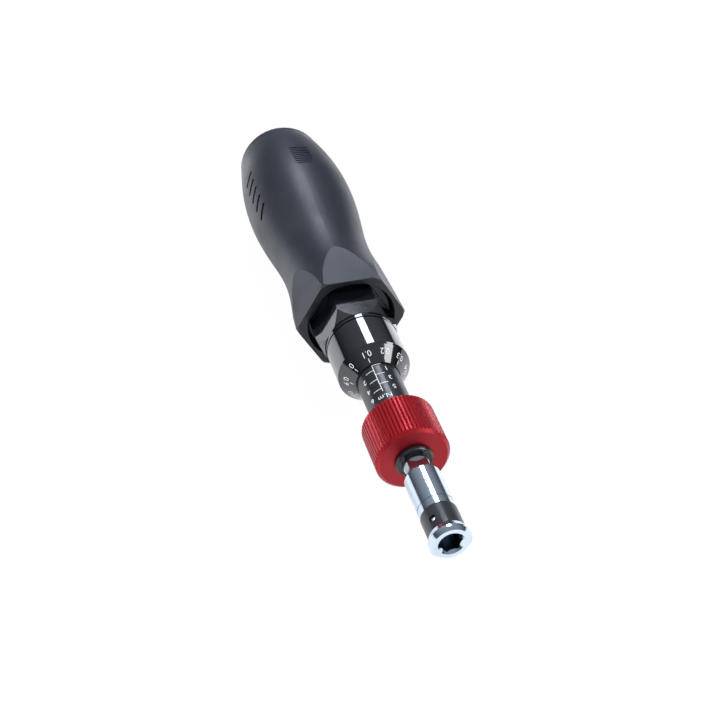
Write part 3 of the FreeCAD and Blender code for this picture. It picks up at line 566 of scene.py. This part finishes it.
@dataclass(frozen=True)
class Softbox:
    """A rectangular lamp: where it hangs and its size in metres, and its power in watts."""

    name: str
    place: tuple[float, float, float]
    width: float
    height: float
    power: float
    colour: str = "#ffffff"

    def hang(self, aim: tuple[float, float, float]) -> None:
        """Hang the lamp so that it faces a point."""
        data = bpy.data.lights.new(self.name, "AREA")
        data.shape = "RECTANGLE"
        data.size, data.size_y = self.width, self.height
        data.energy = self.power
        data.color = srgb(self.colour)[:3]
        lamp = bpy.data.objects.new(self.name, data)
        lamp.location = self.place
        lamp.rotation_mode = "QUATERNION"
        lamp.rotation_quaternion = (Vector(aim) - Vector(self.place)).to_track_quat("-Z", "Y")
        bpy.context.scene.collection.objects.link(lamp)


@dataclass
class Studio:
    """White floor, soft boxes and the camera."""

    floor_size: float = 6.0
    paper_colour: str = "#f4f4f4"
    sky_colour: str = "#dfe8f4"
    subject: tuple[float, float, float] = (0.0, 0.1, 0.0)
    softboxes: tuple[Softbox, ...] = (
        Softbox("softbox_left", (-0.75, 0.1, 0.75), 0.35, 0.7, 11.0),
        Softbox("softbox_right", (0.75, -0.2, 0.7), 0.5, 0.7, 10.0),
        Softbox("softbox_rear", (0.1, 1.0, 0.9), 0.3, 0.3, 5.0, "#e6efff"),
    )
    camera_place: tuple[float, float, float] = (-0.1040, -0.2804, 0.3031)
    camera_azimuth: float = -15.4
    camera_elevation: float = 38.5
    lens: float = 75.0
    sensor_width: float = 36.0
    nearest_view: float = 0.01
    paper_glow: float = 0.94
    horizon: float = 0.05
    zenith: float = 0.85
    horizon_light: float = 0.06
    zenith_light: float = 0.75

    def build_camera(self) -> None:
        """Place the camera and make it the scene's own."""
        data = bpy.data.cameras.new("camera")
        data.lens = self.lens
        data.sensor_width = self.sensor_width
        data.clip_start = self.nearest_view
        camera = bpy.data.objects.new("camera", data)
        bpy.context.scene.collection.objects.link(camera)
        a, e = math.radians(self.camera_azimuth), math.radians(self.camera_elevation)
        back = Vector((math.sin(a) * math.cos(e), -math.cos(a) * math.cos(e), math.sin(e)))
        camera.location = self.camera_place
        camera.rotation_mode = "QUATERNION"
        camera.rotation_quaternion = (-back).to_track_quat("-Z", "Y")
        bpy.context.scene.camera = camera

    def build_floor(self) -> None:
        """Lay a white floor level with the lowest point of the tool."""
        mesh = bpy.data.meshes.new("floor")
        half = self.floor_size / 2
        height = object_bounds()[0].z
        corners = [(-half, -half), (half, -half), (half, half), (-half, half)]
        mesh.from_pydata([(x, y, height) for x, y in corners], [], [(0, 1, 2, 3)])
        material, tree = new_material("studio_paper")
        diffuse = add_node(
            tree, "ShaderNodeBsdfDiffuse", inputs={"Color": srgb(self.paper_colour)}
        )
        glow = add_node(
            tree, "ShaderNodeEmission", inputs={"Color": (1.0, 1.0, 1.0, 1.0), "Strength": 1.0}
        )
        path = add_node(tree, "ShaderNodeLightPath")
        share = add_node(
            tree, "ShaderNodeMath", {"operation": "MULTIPLY"},
            {0: path.outputs["Is Camera Ray"], 1: self.paper_glow},
        )
        mixed = add_node(
            tree, "ShaderNodeMixShader",
            inputs={0: share.outputs[0], 1: diffuse.outputs[0], 2: glow.outputs[0]},
        )
        finish_surface(tree, mixed)
        mesh.materials.append(material)
        object_from_mesh("floor", mesh)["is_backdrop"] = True

    def build_world(self) -> None:
        """White for the camera; for the object a bright zenith over a dim horizon."""
        world = bpy.data.worlds.new("studio")
        bpy.context.scene.world = world
        world.use_nodes = True
        tree = world.node_tree
        tree.nodes.clear()
        path = add_node(tree, "ShaderNodeLightPath")
        where = add_node(tree, "ShaderNodeTexCoord").outputs["Generated"]
        height = add_node(tree, "ShaderNodeSeparateXYZ", inputs={0: where}).outputs["Z"]
        strength = add_node(
            tree, "ShaderNodeMapRange",
            inputs={
                "Value": height, "From Min": self.horizon, "From Max": self.zenith,
                "To Min": self.horizon_light, "To Max": self.zenith_light,
            },
        ).outputs["Result"]
        soft = add_node(
            tree, "ShaderNodeBackground",
            inputs={"Color": srgb(self.sky_colour), "Strength": strength},
        )
        white = add_node(
            tree, "ShaderNodeBackground", inputs={"Color": (1.0, 1.0, 1.0, 1.0), "Strength": 1.0}
        )
        mixed = add_node(
            tree, "ShaderNodeMixShader",
            inputs={0: path.outputs["Is Camera Ray"], 1: soft.outputs[0], 2: white.outputs[0]},
        )
        add_node(tree, "ShaderNodeOutputWorld", inputs={"Surface": mixed.outputs[0]})

    def build(self) -> None:
        """Set up the whole studio."""
        bpy.context.scene.view_settings.view_transform = "Standard"
        self.build_camera()
        self.build_floor()
        self.build_world()
        for softbox in self.softboxes:
            softbox.hang(self.subject)


# --- assembly ---------------------------------------------------------------------------


NODE_FINISHES: Mapping[Finishes, Sequence[str]] = {
    Finishes.HANDLE_ELASTOMER: ("handle", "end_cap"),
    Finishes.DIAL_ANODISED: ("thimble",),
    Finishes.BARREL_ANODISED: ("barrel",),
    Finishes.RING_ANODISED: ("lock_ring",),
    Finishes.RETAINER_RUBBER: ("nose_ring", "friction_ring", "front_bush"),
    Finishes.HOLDER_CHROME: ("bit_holder", "bit_magnet"),
    Finishes.DRIVE_STEEL: (
        "drive_shaft", "bit_ball", "detent_ball", "cam_follower", "lock_pins", "lock_dog",
        "lock_hub", "front_spring_seat", "rear_spring_seat", "thrust_balls",
        "setting_spindle", "spindle_nut",
    ),
    Finishes.BAND_NYLON: ("retaining_band",),
    Finishes.SPRING_STEEL: ("main_spring", "detent_spring"),
    Finishes.BUSH_BRONZE: ("thrust_washer",),
    Finishes.NUT_BRASS: ("setting_nut", "adjusting_plug"),
}


def main() -> None:
    """Dress the nodes, engrave the scales and set up the studio."""
    logging.basicConfig(level=logging.INFO, format="%(message)s")
    wardrobe = Wardrobe()
    for finish, nodes in NODE_FINISHES.items():
        for node in nodes:
            wardrobe.dress_node(node, finish)
            LOG.info("dressed %s as %s", node, finish.value.name)
    for group in (BarrelScale(), ThimbleDial()):
        marks = group.build(wardrobe)
        LOG.info("engraved %s", marks.name)
    coils = SpringCoils("main_spring", "barrel", "rear_seat").build(wardrobe)
    LOG.info("blended %s", coils.name)
    Studio().build()


if __name__ == "__main__":
    main()
